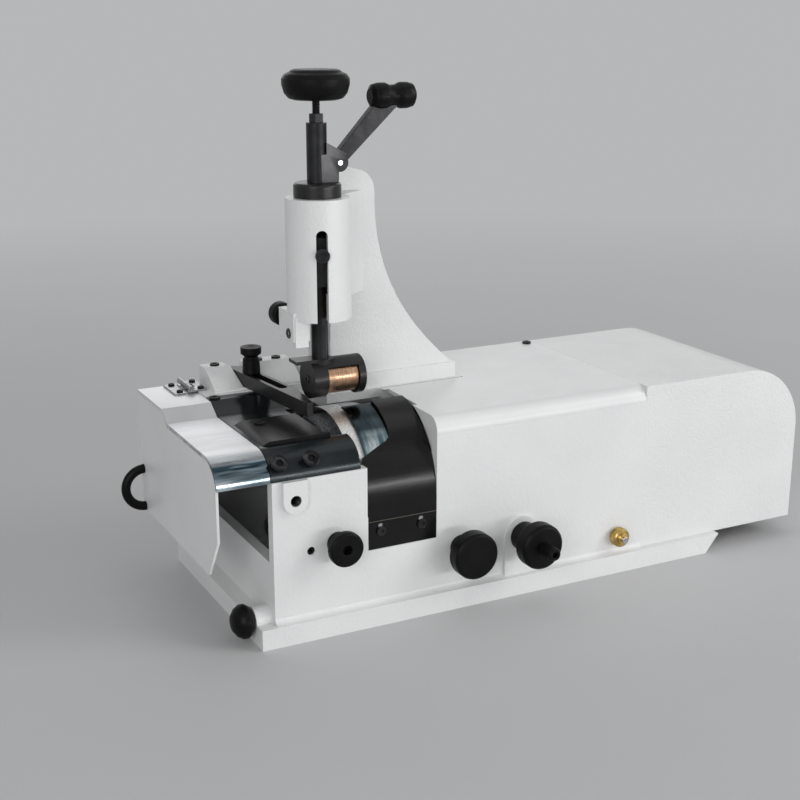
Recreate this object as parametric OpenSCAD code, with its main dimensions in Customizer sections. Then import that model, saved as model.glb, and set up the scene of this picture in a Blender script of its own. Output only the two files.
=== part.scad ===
// Bench machine that skives the margins of leather with a turning bell knife.
// Bench frame while drawing: x to the right along the front, y to the back, z up,
// zero at the front left lower corner of the base flange. Sizes in millimetres.

/* [Base] */
// Length of the base flange
base_l = 380; // [340:1:420]
// Depth of the base flange
base_d = 180; // [176:1:200]
// Thickness of the base flange
flange_t = 15; // [10:1:18]
// Thickness of the cast walls
wall_t = 8; // [6:0.5:9]
// Setback of the front wall from the flange edge
wall_inset = 6; // [4:0.5:8]
// Left end of the body, from the flange's left end
body_x0 = 12; // [9:0.5:14]
// Fillet where the walls meet the flange
fillet_r = 4; // [2:0.5:5]
// Radius of the four bolt holes in the floor
bolt_hole_r = 4.5; // [3:0.1:5]
// Distance between the bolt holes along the machine
bolt_span_x = 130; // [110:1:140]
// Distance between the bolt holes across the machine
bolt_span_y = 120; // [100:1:130]

/* [Table] */
// Height of the lower table
table_z = 136; // [134:0.5:138]
// Rise of the upper table above the lower one
table_rise = 8; // [6:0.5:9]
// Thickness of the table sheet
sheet_t = 3; // [2:0.1:3.5]
// Width of the table plate
table_w = 66; // [60:0.5:67]
// Where the step up ends, from the front
step_y = 120; // [112:1:124]
// Run of the step
step_run = 12; // [8:0.5:14]
// Where the front lip starts to roll down
lip_y = 29; // [26:0.5:32]
// Drop of the front lip
lip_drop = 19; // [16:0.5:21]
// Thickness of the throat plate
throat_t = 2.6; // [2:0.1:3]
// Height of the rear deck above the body top
deck_h = 14; // [10:0.5:16]

/* [Side cover] */
// Width of the hinged cover at the left
side_w = 37.5; // [30:0.5:42]
// Lower edge of the cover's wall
side_low = 50; // [40:1:60]
// Radius of the bow handle
bow_r = 15; // [11:0.5:17]
// Thickness of the bow handle
bow_d = 7; // [5:0.5:8]

/* [Knife] */
// Radius of the bell knife
knife_r = 55; // [52:0.5:56]
// Height of the knife axis
knife_z = 89; // [88:0.5:91]
// Place of the cutting edge along the machine
knife_x = 77; // [76:0.5:80]
// Length of the bell
knife_l = 53; // [48:0.5:54]
// Wall of the bell
knife_wall = 3; // [2:0.1:3.5]
// Radius of the knife shaft
shaft_r = 7.5; // [6:0.1:8]
// Radius of the sliding quill
quill_r = 22; // [20.5:0.5:24]
// Thickness of the guard sheet
guard_t = 2; // [1.5:0.1:2.5]
// Width of the guard
guard_w = 54; // [50:0.5:56]

/* [Feed and stone] */
// Radius of the feed roll
roll_r = 28; // [24:0.5:28]
// Radius of the grindstone
stone_r = 20; // [17:0.5:21]
// Thickness of the grindstone
stone_t = 14; // [10:0.5:16]
// Radius of the sliding sleeve of the stone
sleeve_r = 11; // [10:0.5:13]
// Throw of the eccentric pins
throw = 7; // [6:0.5:8]
// Radius of the eccentric pins
pin_r = 3; // [2:0.1:3.5]

/* [Covers] */
// Height of the covers
cover_z = 145; // [144:0.5:150]
// Depth of the covers
cover_d = 166; // [160:1:168]
// Right end of the main cover
main_x1 = 318; // [310:1:325]
// Right end of the rear cover
rear_x1 = 470; // [455:1:480]
// Wall of the covers
cover_t = 3; // [2:0.1:4]
// Height of the main cover's skirt
skirt_h = 12; // [9:0.5:16]
// Radius of the rear cover's shoulder
shoulder_r = 52; // [40:1:60]

/* [Presser] */
// Column axis, along the machine
col_x = 75; // [74:0.5:77]
// Radius of the column tube
tube_r = 22.5; // [21:0.5:24]
// Lower end of the column tube
tube_z0 = 212; // [210:0.5:214]
// Upper end of the column tube
tube_z1 = 296; // [293:0.5:299]
// Radius of the presser bar
bar_r = 6; // [5:0.1:7]
// Height of the roller axis
foot_z = 168; // [166:0.5:170]
// Radius of the presser roller
foot_r = 12; // [10:0.5:13]
// Width of the presser foot
foot_w = 40; // [36:0.5:44]
// Radius of the regulator knob
knob_r = 23; // [18:0.5:25]
// Radius of the regulator screw
screw_r = 2.75; // [2.2:0.05:3.2]
// Length of the lift lever
lever_l = 62; // [52:1:68]
// Angle of the lift lever at rest
lever_tilt = 45; // [38:1:50]

/* [Knobs] */
// Radius of the socket knob
knob1_r = 12.5; // [10:0.5:14]
// Radius of the plain knob
knob2_r = 17.25; // [14:0.25:19]
// Radius of the hub knob
knob3_r = 17; // [14:0.5:19]
// Radius of the front spindles
spindle_r = 5; // [4:0.1:5.5]

/* [Edge guide] */
// Width of the guide bar
guide_w = 13; // [11:0.5:14]
// Length of the guide bar
guide_l = 120; // [114:0.5:123]

/* [Hidden] */
$fn = 64;

// Clearances: running fits, seats on one body, and gaps between parts that move
run_gap = 0.05;
seat_gap = 0.1;
move_gap = 0.4;
over = 1;

// Colours
white = [0.88, 0.885, 0.885];
black = [0.05, 0.05, 0.055];
dark = [0.13, 0.13, 0.14];
steel = [0.68, 0.7, 0.72];
bright = [0.8, 0.84, 0.87];
brass = [0.72, 0.56, 0.26];
stone = [0.36, 0.36, 0.38];
bronze = [0.6, 0.42, 0.3];

// Walls of the casting
wall_y0 = wall_inset;
wall_y1 = wall_inset + wall_t;
body_y1 = wall_y0 + cover_d;
back_y0 = body_y1 - wall_t;
front_z = table_z - lip_drop;
upper_z = table_z + table_rise;
body_z = cover_z - skirt_h;
ledge_z = upper_z - sheet_t;
deck_y0 = step_y + 14;
deck_z = cover_z + deck_h;
table_x1 = body_x0 + table_w;
floor_x0 = knife_x + knife_l + 10;
wall_b_x0 = knife_x + knife_l + 8;
wall_b_t = 7;
wall_c_x0 = main_x1 - 12;
bolt_x = (floor_x0 + wall_c_x0) / 2 + 8;
belt_x0 = main_x1 + 16;
belt_y0 = 30;
belt_y1 = base_d - 30;

// Knife line
guard_gap = 2.5;
guard_sink = 0.5;
guard_in = knife_r + guard_gap;
guard_out = guard_in + guard_t;
knife_y = wall_y0 + guard_sink + guard_out;
guard_x0 = table_x1 + 5;
guard_x1 = guard_x0 + guard_w;
guard_z0 = knife_z - 33;
guard_top_angle = 84;
hub_r = 17;
quill_x0 = wall_b_x0 + 1;
quill_x1 = main_x1 + 3;
bearing_r = quill_r - 4.5;
bearing_w = 11;
pulley_x = main_x1 + 24;
drum_x0 = quill_x1 + 6;
drum_x1 = drum_x0 + 12;
knife_drum_r = 14;
stone_drum_r = 10;
belt_d = 5;

// Feed line
roll_gap = 1;
roll_z = knife_z + knife_r - knife_wall - roll_gap - roll_r;
roll_x0 = knife_x - 11;
roll_x1 = knife_x + knife_l - 35;
roll_shaft_r = 6;
case_x0 = body_x0 + 14;
case_x1 = roll_x0 - 8;
feed_y = knife_y + knife_r + 7;
feed_z = roll_z + 2;
feed_shaft_r = 8;

// Grindstone line, low at the back of the bell
stone_off = (knife_r + 13) * sin(45);
stone_y = knife_y + stone_off;
stone_z = knife_z - stone_off;
stone_shaft_r = 5;
stone_x1 = knife_x - 7.5;

// Front knobs
knob1_x = 59;
knob1_z = 67;
knob2_x = wall_b_x0 + 19;
knob3_x = 208;
knob_z = 46;
pad_h = 2.5;
boss_h = 3.2;
lug_w = 6;
lug_gap = 2;
nut_x = 295;
nut_z = 29;
chute_y = 19;
chute_z = flange_t + 1;
boss_x = body_x0 + 16;
boss_z = front_z - 14;
boss_hole_r = 4;
sight_x = boss_x + 11.6;
sight_z = knob1_z - 3;

// Presser line
col_y = knife_y;
arm_y0 = col_y + 34;
arm_y1 = arm_y0 + 40;
arm_z1 = tube_z1 + 13;
arm_x0 = col_x + 26;
arm_x1 = col_x + 60;
arm_foot_x0 = col_x + 22;
arm_foot_x1 = col_x + 128;
bore_r = tube_r - 7;
bush_h = 18;
bush_r = bar_r + 4;
bar_z0 = foot_z + foot_r + 2;
cup_z0 = tube_z0 + 24;
cup_z1 = tube_z0 + 58;
pocket_z = cup_z0 + 8;
pocket_r = bore_r - 4;
slot_hw = 4;
slot_turn = 17;
guide_screw_z = cup_z1 - 11;
slot_z1 = guide_screw_z + 13;
cap_h = 10;
cap_r = 16.5;
cap_z1 = tube_z1 + cap_h;
sleeve_or = 7;
bracket_z1 = cap_z1 + 40;
nut_h = 6;
stem_z1 = bracket_z1 + 15;
knob_h = 20;
pivot_x = col_x + 14;
pivot_z = cap_z1 + 13;
ear_t = 4;
lever_t = 7;
ear_y = lever_t / 2 + ear_t;
pivot_r = 2;
cheek_t = 5;
left_cheek_t = 11;
block_z = tube_z0 - 18.5;
collar_z = block_z - 11;
foot_x0 = col_x - 10;
foot_x1 = foot_x0 + foot_w;
clamp_x = col_x - tube_r + 4.5;
clamp_y = col_y + 18;
clamp_z = tube_z0 - 1;
clamp_r = 3;
lug_y0 = col_y - 8;

// Hinge of the side cover
side_gap = 0.5;
side_x1 = body_x0 - side_gap;
side_x0 = side_x1 - side_w;
hinge_x = body_x0 - 5.5;
hinge_z = cover_z + 2.4;
hinge_y0 = step_y + 28;
hinge_y1 = hinge_y0 + 28;
knuckle_r = 2.3;
knuckle_l = 9;
leaf_t = 1.5;
hinge_pin_r = 1.2;
bow_y = hinge_y1 - 4;
bow_z = side_low + bow_r;

// Edge guide, laid across the deck towards the foot
guide_x = 47.1;
guide_y = 164.8;
guide_turn = -83;
thumb_s = 27;
thumb_r = 3;
slot_s0 = thumb_s - 10;
slot_s1 = thumb_s + 50;
tip_w = 4.5;
guide_z = cover_z + 2;
guide_h = 10;

// Helpers: bars along an axis, boxes between corners, and profiles run along an axis
module place() { translate([-base_l / 2, -base_d / 2, 0]) children(); }
module rod_x(x0, x1, y, z, r) { translate([x0, y, z]) rotate([0, 90, 0]) cylinder(r = r, h = x1 - x0); }
module rod_y(y0, y1, x, z, r) { translate([x, y0, z]) rotate([-90, 0, 0]) cylinder(r = r, h = y1 - y0); }
module rod_z(z0, z1, x, y, r) { translate([x, y, z0]) cylinder(r = r, h = z1 - z0); }
module block(a, b) { translate(a) cube(b - a); }
module along_x(x0, x1) { translate([x0, 0, 0]) rotate([90, 0, 90]) linear_extrude(x1 - x0) children(); }
module along_y(y0, y1) { translate([0, y1, 0]) rotate([90, 0, 0]) linear_extrude(y1 - y0) children(); }
module turned_x(x, y, z) { translate([x, y, z]) rotate([0, 90, 0]) rotate_extrude() children(); }
module turned_y(x, y, z) { translate([x, y, z]) rotate([90, 0, 0]) rotate_extrude() children(); }
module slot_2d(length, hw) {
  translate([-length / 2, -hw]) square([length, 2 * hw]);
  translate([-length / 2, 0]) circle(hw);
  translate([length / 2, 0]) circle(hw);
}
// Part of a ring between two angles less than half a turn apart
module ring_sector(r0, r1, a0, a1) {
  far = 4 * r1;
  mid = (a0 + a1) / 2;
  intersection() {
    difference() {
      circle(r1);
      circle(r0);
    }
    polygon([[0, 0], far * [cos(a0), sin(a0)], far * [cos(mid), sin(mid)], far * [cos(a1), sin(a1)]]);
  }
}
// Headed screw with a hexagon socket, head up, seated at z = 0
module cap_screw(r, head_r, head_h, shank) {
  difference() {
    union() {
      translate([0, 0, -shank]) cylinder(r = r, h = shank + head_h / 2);
      cylinder(r = head_r, h = head_h);
    }
    translate([0, 0, head_h / 2]) cylinder(r = head_r / 2, h = head_h, $fn = 6);
  }
}

// Folded sheet of the table, seen from the left: upper flat, step, lower flat, rolled lip
lip_steps = 10;
function lip(t) = [for (i = [0:lip_steps]) let (a = 90 * i / lip_steps)
  [lip_y - (lip_y - wall_y0 - 1 - t) * sin(a), table_z - t - (lip_drop - t) * (1 - cos(a))]];
function fold(y, t) = concat(
  [[y, upper_z - t], [step_y, upper_z - t], [step_y - step_run, table_z - t]], lip(t));
function back_to_front(list) = [for (i = [len(list) - 1:-1:0]) list[i]];
module sheet_2d(y) { polygon(concat(fold(y, 0), back_to_front(fold(y, sheet_t)))); }

// Casting, in three solids that meet face to face: flange, front wall, and the rest of the body
module chute_bore() { rod_x(-over, body_x0 + 12, chute_y, chute_z, 3 + run_gap); }
module knife_room() { rod_x(knife_x - 8, wall_b_x0, knife_y, knife_z, guard_in); }
module base_flange() {
  color(white) place() difference() {
    union() {
      along_y(0, base_d) polygon([[0, 0], [base_l, 0], [base_l + 12, flange_t], [0, flange_t]]);
      rod_x(0, body_x0, chute_y, chute_z, 9);
    }
    block([body_x0 + 12, 24, -over], [floor_x0 - 10, base_d - 30, flange_t + over]);
    block([belt_x0, belt_y0, -over], [base_l + 13, belt_y1, flange_t + over]);
    for (sx = [-1, 1], sy = [-1, 1])
      rod_z(-over, flange_t + over, bolt_x + sx * bolt_span_x / 2, base_d / 2 + sy * bolt_span_y / 2,
        bolt_hole_r);
    chute_bore();
  }
}
module wall_fillet() {
  along_x(body_x0, main_x1) translate([wall_y0 - fillet_r, flange_t]) difference() {
    square([fillet_r + over, fillet_r]);
    translate([0, fillet_r]) circle(fillet_r - 0.2);
  }
}
// Outline with one round end, which starts at an angle and is closed off straight at height z1
arch_steps = 36;
function arch(x, z, r, start, z1) = concat([for (i = [0:arch_steps]) let (a = start + 180 * i / arch_steps)
  [x + r * cos(a), z + r * sin(a)]], [[x - r * cos(start), z1], [x + r * cos(start), z1]]);
module front_wall() {
  color(white) place() difference() {
    union() {
      along_y(wall_y0, wall_y1) polygon([[body_x0, flange_t], [body_x0, front_z], [guard_x0 - 0.5, front_z],
        [guard_x0 - 0.5, knife_z - 8], [guard_x1, knife_z - 8], [guard_x1, body_z], [main_x1, body_z],
        [main_x1, flange_t]]);
      along_y(wall_y0 - pad_h, wall_y0 + over) polygon(arch(knob3_x, knob_z, 14.5, 0, flange_t));
      along_y(wall_y0 - boss_h, wall_y0 + over) polygon(arch(boss_x, boss_z, 9, 180, front_z));
      wall_fillet();
    }
    knife_room();
    block([guard_x0 - seat_gap, wall_y0 - over, guard_z0 - seat_gap],
      [guard_x1 + seat_gap, wall_y0 + guard_sink + guard_t, knife_z]);
    rod_y(wall_y0 - 6, wall_y1 + over, knob1_x, knob1_z, spindle_r + run_gap);
    rod_y(wall_y0 - 6, wall_y1 + over, knob2_x, knob_z, spindle_r + run_gap);
    rod_y(wall_y0 - 6, wall_y1 + over, knob3_x, knob_z, spindle_r + run_gap);
    rod_y(wall_y0 - 6, wall_y1 + over, boss_x, boss_z, boss_hole_r);
    rod_y(wall_y0 - 6, wall_y1 + over, sight_x, sight_z, 3);
    rod_y(wall_y0 - 6, wall_y1 + over, nut_x, nut_z, 2.5 + seat_gap);
    for (x = guard_slot_x) rod_y(wall_y0, wall_y1 + over, x, knife_z - 20, 2 + seat_gap);
  }
}
module wall_bores() {
  for (x = [wall_b_x0, wall_c_x0]) {
    rod_x(x - over, x + 12 + over, knife_y, knife_z, quill_r + run_gap);
    rod_x(x - over, x + 12 + over, stone_y, stone_z, sleeve_r + run_gap);
    rod_x(x - over, x + 12 + over, feed_y, feed_z, feed_shaft_r + run_gap);
  }
}
module cross_walls() {
  block([wall_b_x0, wall_y1, flange_t], [wall_b_x0 + wall_b_t, back_y0 + over, body_z]);
  block([wall_c_x0, wall_y1, flange_t], [main_x1, back_y0 + over, body_z]);
  block([body_x0, wall_y1, flange_t], [body_x0 + wall_t, back_y0 + over, side_low + 8]);
}
module body_top() {
  block([body_x0, step_y, ledge_z - 8], [notch_x1, body_y1, ledge_z]);
  block([body_x0, deck_y0, ledge_z - over], [notch_x1, body_y1, cover_z]);
  block([arm_foot_x0 - 4, arm_y0 - 4, ledge_z - 8], [notch_x1, deck_y0 + over, cover_z]);
}
module body_frame() {
  color(white) place() difference() {
    union() {
      block([body_x0, back_y0, flange_t], [main_x1, body_y1, body_z]);
      cross_walls();
      body_top();
    }
    wall_bores();
    knife_room();
    chute_bore();
    for (p = arm_bolt_xy()) rod_z(cover_z - 20, cover_z + over, p[0], p[1], 4 + seat_gap);
    for (p = deck_screw_xy()) rod_z(cover_z - 12, cover_z + over, p[0], p[1], 2 + seat_gap);
    rod_z(cover_z - 11, cover_z + over, thumb_xy()[0], thumb_xy()[1], thumb_r + run_gap);
    rod_z(ledge_z - 9, ledge_z + over, table_screw_xy()[0], table_screw_xy()[1], 2 + seat_gap);
    for (y = hinge_screw_y()) rod_z(cover_z - 4, cover_z + over, body_x0 + 2.8, y, 1.2 + seat_gap);
  }
}

// Table
function table_screw_xy() = [body_x0 + 5, step_y + 7];
function throat_screw_xy() = [body_x0 + 18, lip_y + 42];
lip_screw_x = [body_x0 + 6, body_x0 + 29];
lip_screw_z = table_z - lip_drop / 2 + 1;
lip_screw_y = wall_y0 + 4;
module table_plate() {
  color(black) place() difference() {
    along_x(body_x0, table_x1) sheet_2d(deck_y0 - 0.5);
    rod_x(roll_x0 - 4, table_x1 + over, knife_y, knife_z, guard_out);
    rod_z(ledge_z - over, upper_z + over, table_screw_xy()[0], table_screw_xy()[1], 2 + seat_gap);
    rod_z(table_z - 5, table_z + over, throat_screw_xy()[0], throat_screw_xy()[1], 2 + seat_gap);
    for (x = lip_screw_x) translate([x, lip_screw_y, lip_screw_z]) rotate([50, 0, 0]) {
      translate([0, 0, -9]) cylinder(r = 4 + seat_gap, h = 30);
    }
  }
}
module table_screws() {
  color(dark) place() {
    translate([table_screw_xy()[0], table_screw_xy()[1], upper_z]) cap_screw(2, 4, 1.6, sheet_t + 7);
    translate([throat_screw_xy()[0], throat_screw_xy()[1], table_z + throat_t])
      cap_screw(2, 4, 1.2, throat_t + 6);
    for (x = lip_screw_x) translate([x, lip_screw_y, lip_screw_z]) rotate([50, 0, 0])
      translate([0, 0, 3.4]) cap_screw(4, 5.8, 1.8, 11);
    for (p = deck_screw_xy()) translate([p[0], p[1], deck_z]) cap_screw(2, 3.5, 1.4, deck_h + 6);
    for (y = hinge_screw_y())
      translate([body_x0 + 2.8, y, cover_z + leaf_t]) cap_screw(1.2, 2.4, 1.2, leaf_t + 2);
  }
}
module throat_plate() {
  color(black) place() difference() {
    along_y(lip_y, lip_y + 54) polygon([[body_x0 + 3, table_z], [body_x0 + 8, table_z + throat_t],
      [roll_x0 - move_gap, table_z + throat_t], [roll_x0 - move_gap, table_z]]);
    rod_x(roll_x0 - 4, roll_x0 + over, knife_y, knife_z, guard_out);
    rod_z(table_z - over, table_z + throat_t + over, throat_screw_xy()[0], throat_screw_xy()[1],
      2 + seat_gap);
  }
}

// Raised deck behind the table: a ramp up to a flat land, grooved for the guide bar
function guide_at(s) = [guide_x + s * cos(guide_turn), guide_y + s * sin(guide_turn)];
function thumb_xy() = guide_at(thumb_s);
deck_x0 = body_x0 + 9;
deck_x1 = arm_foot_x0 - 6;
deck_front = deck_y0 + 3;
deck_land = body_y1 - 14;
deck_screw_x = [deck_x0 + 10, (deck_x0 + deck_x1) / 2 + 10, deck_x1 - 10];
function deck_screw_xy() = [for (x = deck_screw_x) [x, body_y1 - 7]];
module guide_line() { translate([guide_x, guide_y, guide_z]) rotate([0, 0, guide_turn]) children(); }
module rear_deck() {
  color(white) place() difference() {
    along_x(deck_x0, deck_x1) polygon([[deck_front, cover_z], [deck_front, cover_z + 1.5],
      [deck_land, deck_z], [body_y1, deck_z], [body_y1, cover_z]]);
    guide_line() block([-20, -guide_w / 2 - move_gap, -0.3], [guide_l, guide_w / 2 + move_gap, deck_h + 10]);
    rod_z(cover_z - over, deck_z, thumb_xy()[0], thumb_xy()[1], thumb_r + run_gap);
    for (p = deck_screw_xy()) rod_z(cover_z - over, deck_z + over, p[0], p[1], 2 + seat_gap);
  }
}

// Edge guide: slotted bar narrowed towards its tip, and its thumb screw
module edge_guide() {
  color(black) place() guide_line() linear_extrude(guide_h) difference() {
    polygon([[0, -guide_w / 2], [guide_l, -guide_w / 2], [guide_l, tip_w - guide_w / 2],
      [slot_s1 + 6, guide_w / 2], [7, guide_w / 2], [0, 4 - guide_w / 2]]);
    translate([(slot_s0 + slot_s1) / 2, 0]) slot_2d(slot_s1 - slot_s0 - 2 * thumb_r, thumb_r + move_gap);
  }
}
module guide_thumb_screw() {
  thumb_z = guide_z + guide_h + 0.3;
  color(black) place() translate([thumb_xy()[0], thumb_xy()[1], 0]) {
    rod_z(cover_z - 10, thumb_z + over, 0, 0, thumb_r);
    translate([0, 0, thumb_z]) rotate_extrude() polygon([[0, 0], [6.8, 0], [6.3, 10.5], [5.2, 12], [5.2, 13],
      [7.8, 15], [7.8, 20], [6, 20], [0, 18.6]]);
  }
}

// Side cover: folded bright sheet, white wall, bow handle, hinge
module side_sheet() {
  color(bright) place() difference() {
    along_x(side_x0, side_x1) sheet_2d(body_y1 + 6);
    for (y = hinge_screw_y()) rod_z(ledge_z - over, upper_z + over, hinge_x - 8, y, 1.2 + seat_gap);
  }
}
module side_wall() {
  color(white) place() along_x(side_x0, side_x0 + 2) polygon(concat(fold(body_y1 + 6, sheet_t),
    [[wall_y0 + 4, side_low + 30], [wall_y0 + 24, side_low], [body_y1 + 6, side_low]]));
}
module bow_handle() {
  color(black) place() translate([side_x0, bow_y, bow_z + 3]) rotate([90, 0, 0]) rotate([0, 0, 90])
    rotate_extrude(angle = 180) translate([bow_r, 0]) circle(bow_d / 2, $fn = 32);
}
function hinge_screw_y() = [hinge_y0 + 4, hinge_y1 - 4];
module hinge_leaf_fixed() {
  color(steel) place() difference() {
    union() {
      block([body_x0 + 0.2, hinge_y0, cover_z], [body_x0 + 6.5, hinge_y1, cover_z + leaf_t]);
      for (y = [hinge_y0, hinge_y1 - knuckle_l]) intersection() {
        union() {
          rod_y(y, y + knuckle_l, hinge_x, hinge_z, knuckle_r);
          block([hinge_x, y, cover_z + 0.3], [body_x0 + 1, y + knuckle_l, cover_z + leaf_t]);
        }
        block([hinge_x - 9, y, cover_z + 0.1], [body_x0 + 2, y + knuckle_l, hinge_z + 9]);
      }
    }
    rod_y(hinge_y0 - over, hinge_y1 + over, hinge_x, hinge_z, hinge_pin_r + run_gap);
    for (y = hinge_screw_y()) rod_z(cover_z - over, hinge_z + 2, body_x0 + 2.8, y, 1.2 + seat_gap);
  }
}
module hinge_leaf_moving() {
  color(steel) place() difference() {
    union() {
      block([hinge_x - 13, hinge_y0, upper_z], [hinge_x - knuckle_r - 0.5, hinge_y1, upper_z + leaf_t]);
      rod_y(hinge_y0 + knuckle_l + 0.3, hinge_y1 - knuckle_l - 0.3, hinge_x, hinge_z, knuckle_r);
      block([hinge_x - 4, hinge_y0 + knuckle_l + 0.3, upper_z],
        [hinge_x, hinge_y1 - knuckle_l - 0.3, hinge_z - knuckle_r / 2]);
    }
    rod_y(hinge_y0 - over, hinge_y1 + over, hinge_x, hinge_z, hinge_pin_r + run_gap);
    for (y = hinge_screw_y()) rod_z(upper_z - over, hinge_z + 2, hinge_x - 8, y, 1.2 + seat_gap);
  }
}
module hinge_pin() {
  color(steel) place() rod_y(hinge_y0 - 1.5, hinge_y1 + 1.5, hinge_x, hinge_z, hinge_pin_r);
}
module hinge_screws_moving() {
  color(dark) place() for (y = hinge_screw_y())
    translate([hinge_x - 8, y, upper_z + leaf_t]) cap_screw(1.2, 2.4, 1.2, leaf_t + 2);
}

// Knife guard with its cut corner, slots and screws, and the deflector under the cut
guard_slot_x = [guard_x0 + 10, guard_x1 - 12];
module guard_2d() {
  translate([knife_y, knife_z]) ring_sector(guard_in, guard_out, 180, 180 - guard_top_angle);
  translate([knife_y - guard_out, guard_z0]) square([guard_t, knife_z - guard_z0 + seat_gap]);
}
module knife_guard() {
  color(black) place() difference() {
    along_x(guard_x0, guard_x1) guard_2d();
    translate([guard_x0 - over, 0, knife_z]) linear_extrude(guard_out + over)
      polygon([[0, knife_y - guard_out * 0.85], [0, knife_y + 2], [30, knife_y + 2],
        [27.5, knife_y - guard_out * 0.69], [23, knife_y - guard_out * 0.74]]);
    for (x = guard_slot_x) translate([x, knife_y - guard_out - over, knife_z - 19]) rotate([-90, 0, 0])
      linear_extrude(guard_t + 2 * over) rotate([0, 0, 90]) slot_2d(5, 2.2);
  }
}
module guard_screws() {
  color(dark) place() for (x = guard_slot_x) translate([x, knife_y - guard_out, knife_z - 20])
    rotate([90, 0, 0]) cap_screw(2, 3.4, 1.8, guard_t + 3);
}
module chip_deflector() {
  color(bright) place() along_x(knife_x + 11, knife_x + 36) translate([knife_y, knife_z])
    ring_sector(guard_in - 1.4, guard_in - seat_gap, 150, 180 - guard_top_angle);
}

// Covers
notch_x1 = arm_foot_x1 + 5;
notch_y0 = arm_y0 - 6;
main_r = skirt_h - 1;
main_steps = 10;
function main_round() = [for (i = [0:main_steps]) let (a = 90 * i / main_steps)
  [wall_y0 + main_r * (1 - cos(a)), cover_z - main_r * (1 - sin(a))]];
module main_2d() {
  polygon(concat([[wall_y0, body_z]], main_round(), [[body_y1, cover_z], [body_y1, body_z]]));
}
module main_cover() {
  color(white) place() difference() {
    union() {
      difference() {
        along_x(guard_x1, main_x1 - seat_gap) main_2d();
        block([guard_x1 + cover_t, wall_y0 + cover_t + main_r / 2, body_z - over],
          [main_x1 - cover_t, body_y1 - cover_t, cover_z - cover_t]);
        block([guard_x1 + cover_t, wall_y0 + cover_t, body_z - over],
          [main_x1 - cover_t, body_y1 - cover_t, body_z + 2]);
      }
      for (p = main_screw_xy()) rod_z(body_z, cover_z - over, p[0], p[1], post_r);
    }
    block([guard_x1 - over, notch_y0, body_z - over],
      [notch_x1 + seat_gap, body_y1 + over, cover_z + over]);
    rod_x(guard_x1 - over, guard_x1 + cover_t + over, knife_y, knife_z, guard_out + 1);
    for (p = main_screw_xy()) rod_z(body_z - over, cover_z + over, p[0], p[1], 2 + seat_gap);
  }
}
post_r = 5.5;
function main_screw_xy() = [[notch_x1 + 10, body_y1 - 8], [main_x1 - 8, body_y1 - 8]];
module rear_2d(inset) {
  w = rear_x1 - main_x1 - 2 * inset;
  h = cover_z - flange_t - inset;
  r = shoulder_r - inset;
  translate([main_x1 + inset, flange_t]) {
    square([w - r, h]);
    square([w, h - r]);
    translate([w - r, h - r]) circle(r);
  }
}
module rear_cover() {
  color(white) place() difference() {
    along_y(wall_y0, body_y1) rear_2d(0);
    translate([-cover_t, 0, -over]) along_y(wall_y0 + cover_t, body_y1 - cover_t) {
      rear_2d(cover_t);
      translate([main_x1, flange_t]) square([20, cover_z - flange_t - cover_t]);
    }
    along_y(wall_y0 + cover_t, body_y1 - cover_t) rear_2d(cover_t);
    for (y = rear_screw_y()) rod_x(rear_x1 - 6, rear_x1 + over, y, 30, 2 + seat_gap);
  }
}
function rear_screw_y() = [wall_y0 + 20, body_y1 - 20];
module cover_screws() {
  color(dark) place() {
    for (p = main_screw_xy()) translate([p[0], p[1], cover_z]) cap_screw(2, 3.6, 1.6, cover_t + 6);
    for (y = rear_screw_y()) translate([rear_x1, y, 30]) rotate([0, 90, 0])
      cap_screw(2, 3.6, 1.6, cover_t + 3);
  }
}

// Presser arm: column tube, neck and flared foot in one casting
module slot_side() { translate([col_x, col_y, 0]) rotate([0, 0, -slot_turn]) children(); }
flare_steps = 12;
function arm_right() = [for (i = [0:flare_steps]) let (k = i / flare_steps)
  [arm_x1 + (arm_foot_x1 - arm_x1) * pow(k, 2.4), arm_z1 - 16 - (arm_z1 - 16 - cover_z - 10) * k]];
function arm_left() = [for (i = [0:flare_steps]) let (k = 1 - i / flare_steps)
  [arm_x0 + (arm_foot_x0 - arm_x0) * pow(k, 0.5), tube_z0 + 8 - (tube_z0 + 8 - cover_z) * k]];
module arm_2d() {
  polygon(concat([[arm_x0, arm_z1], [arm_x1 - 16, arm_z1]], arm_right(),
    [[arm_foot_x1, cover_z], [arm_foot_x0, cover_z]], arm_left()));
  translate([arm_x1 - 16, arm_z1 - 16]) circle(16);
}
module presser_arm() {
  color(white) place() difference() {
    union() {
      rod_z(tube_z0, tube_z1, col_x, col_y, tube_r);
      along_y(arm_y0, arm_y1) arm_2d();
      translate([0, 0, tube_z0 + 8]) linear_extrude(tube_z1 - tube_z0 - 10)
        polygon([[col_x - 10, col_y + 10], [col_x + 14, col_y + 6], [arm_x1 - 8, arm_y0 + over],
          [arm_x0 + 2, arm_y0 + over]]);
      block([clamp_x - 5.2, lug_y0, tube_z0 - 14.5], [col_x - bush_r - over, clamp_y, tube_z0 + 6]);
      block([col_x - 22, col_y - 9, block_z], [col_x - 12.5, col_y + 9, tube_z0 + 3]);
      block([arm_foot_x0, arm_y0 - 2, cover_z], [arm_foot_x1, body_y1 - 4, cover_z + 12]);
    }
    rod_z(tube_z0 - over, tube_z1 + over, col_x, col_y, bush_r + seat_gap);
    rod_z(tube_z0 + bush_h, tube_z1 + over, col_x, col_y, bore_r);
    slot_side() along_y(-tube_r - over, 0) translate([0, (slot_z1 + block_z) / 2]) rotate([0, 0, 90])
      slot_2d(slot_z1 - block_z, slot_hw);
    rod_y(lug_y0 + 6, clamp_y + over, clamp_x, clamp_z, clamp_r + run_gap);
    for (p = arm_bolt_xy()) rod_z(cover_z - over, cover_z + 14, p[0], p[1], 4 + seat_gap);
  }
}
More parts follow.
